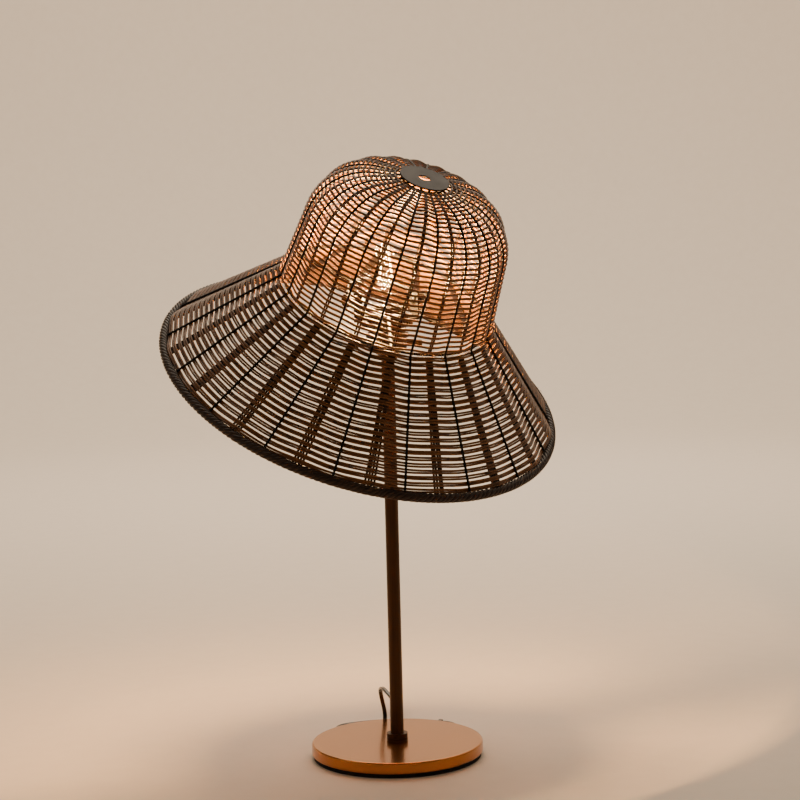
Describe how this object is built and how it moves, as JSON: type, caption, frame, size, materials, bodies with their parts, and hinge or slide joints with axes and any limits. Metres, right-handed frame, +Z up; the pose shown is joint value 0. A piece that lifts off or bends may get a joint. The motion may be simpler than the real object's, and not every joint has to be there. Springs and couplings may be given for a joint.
{
  "type": "table lamp with shade",
  "caption": "Table lamp: woven rattan hat-shaped shade on a tilting, swivelling gimbal above a slim bronze pole with a round disc base, lit bulb and mains cord.",
  "frame": {"origin": "centre of the face that the base pad rests on, on the pole's axis", "axes": "+Z up along the pole; -Y is the front, from which the cord is behind the pole; the hat tilts down to the front right"},
  "size_m": [0.4142, 0.3967, 0.6257],
  "materials": {
    "bronze": "satin bronze paint",
    "foam": "matt",
    "zinc": "zinc plated",
    "brass": "bright",
    "black_rubber": "satin",
    "black_plastic": "satin",
    "insulator": "matt",
    "flex": "gloss",
    "black_steel": "black stove enamel",
    "rattan": "varnished honey-brown rattan",
    "rattan_stake": "varnished dark rattan",
    "bulb_glass": "clear",
    "filament": "lit"
  },
  "bodies": {
    "stand": {"base_disc": "bronze", "base_pad": "foam", "base_washer": "zinc", "base_nut": "zinc", "base_stud": "brass", "pole_foot_insert": "zinc", "pole_collar": "bronze", "pole": "bronze", "cord_grommet": "black_rubber", "pole_top_insert": "zinc", "holder_nipple": "brass", "holder_cap": "black_plastic", "holder_shell": "black_plastic", "holder_insert": "insulator", "screw_shell": "brass", "centre_contact": "brass", "terminal_screws": "zinc", "inner_flex": "flex", "inner_cores": "flex", "shade_ring_lower": "black_plastic", "shade_ring_upper": "black_plastic", "bulb_cap": "zinc", "bulb_contact": "zinc", "bulb_glass": "bulb_glass", "bulb_stem": "bulb_glass", "bulb_filaments": "filament", "cord_run": "flex", "cord_hank": "flex", "cord_tail": "flex", "cord_tie": "black_plastic", "plug_relief": "black_plastic", "plug_body": "black_plastic", "plug_pins": "brass"},
    "switch": {"switch_bar": "black_plastic", "switch_buttons": "black_plastic"},
    "carrier": {"gimbal_ring": "black_steel", "pivot_screws": "black_steel", "pivot_washers": "insulator", "pivot_nuts": "zinc"},
    "shade": {"spider_hub": "black_steel", "spider_spokes": "black_steel", "neck_hoop": "black_steel", "rim_hoop": "black_steel", "crown_hoop": "black_steel", "crown_plate": "black_steel", "shade_ribs": "black_steel", "crown_stakes": "rattan_stake", "brim_stakes": "rattan_stake", "crown_weave": "rattan", "brim_weave": "rattan", "rim_border": "rattan"}
  },
  "joints": [
    {"name": "shade_swivel", "type": "hinge", "parent": "stand", "child": "carrier", "pos_m": [0, 0, 0.4575], "axis": [0, 0, 1], "range_deg": [-180, 180]},
    {"name": "shade_tilt", "type": "hinge", "parent": "carrier", "child": "shade", "pos_m": [0, 0, 0.48], "axis": [0.809, 0.5878, 0], "range_deg": [-65, 5]},
    {"name": "switch_slide", "type": "slide", "parent": "stand", "child": "switch", "axis": [1, 0, 0], "range_m": [-0.003, 0.003]}
  ]
}
